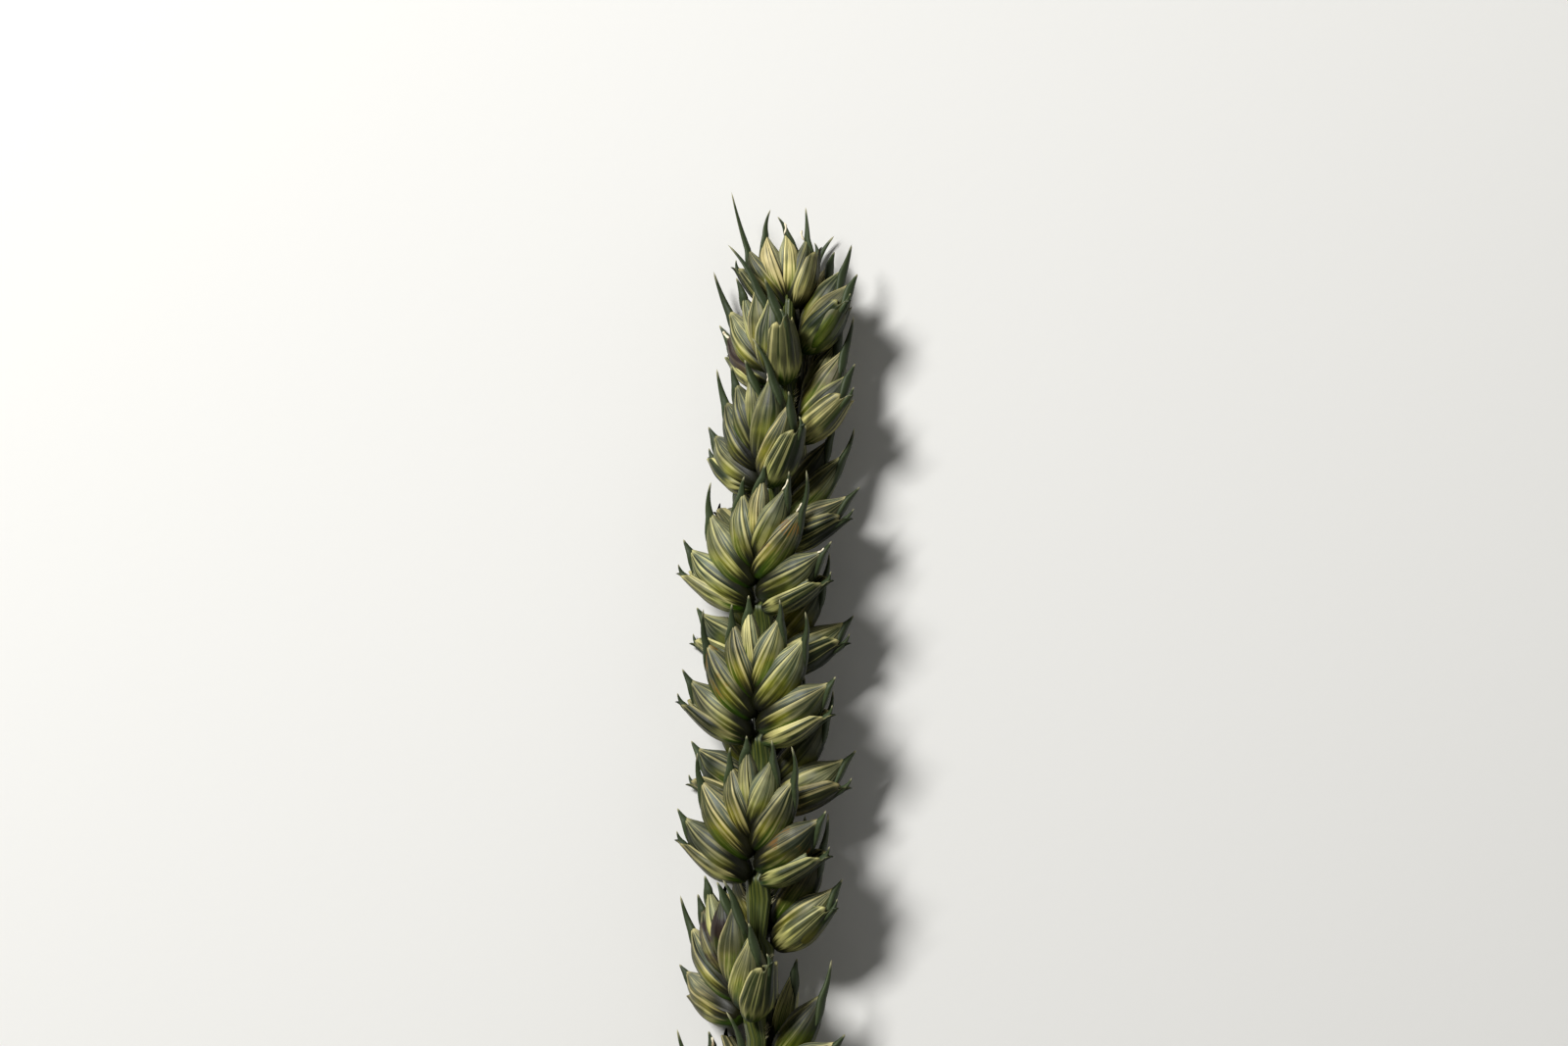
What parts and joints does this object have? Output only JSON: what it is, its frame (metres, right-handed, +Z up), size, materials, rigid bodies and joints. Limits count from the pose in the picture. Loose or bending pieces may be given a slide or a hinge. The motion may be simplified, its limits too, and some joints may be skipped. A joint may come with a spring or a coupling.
{
  "type": "wheat ear",
  "caption": "Unripe green wheat ear on a short cut straw, its plump spikelets set in two rows, lying on its side as picked.",
  "frame": {"origin": "under the middle of the ear's box, on the surface that it lies on", "axes": "+Y along the ear towards its tip, +Z up from the surface through the front row of spikelets, +X to the ear's right as seen from above with its tip away from the viewer"},
  "size_m": [0.016, 0.1338, 0.0114],
  "materials": {
    "ear": "fresh green husks with pale dry margins, slightly waxy"
  },
  "bodies": {
    "root": {"wheat_ear": "ear"}
  },
  "joints": []
}
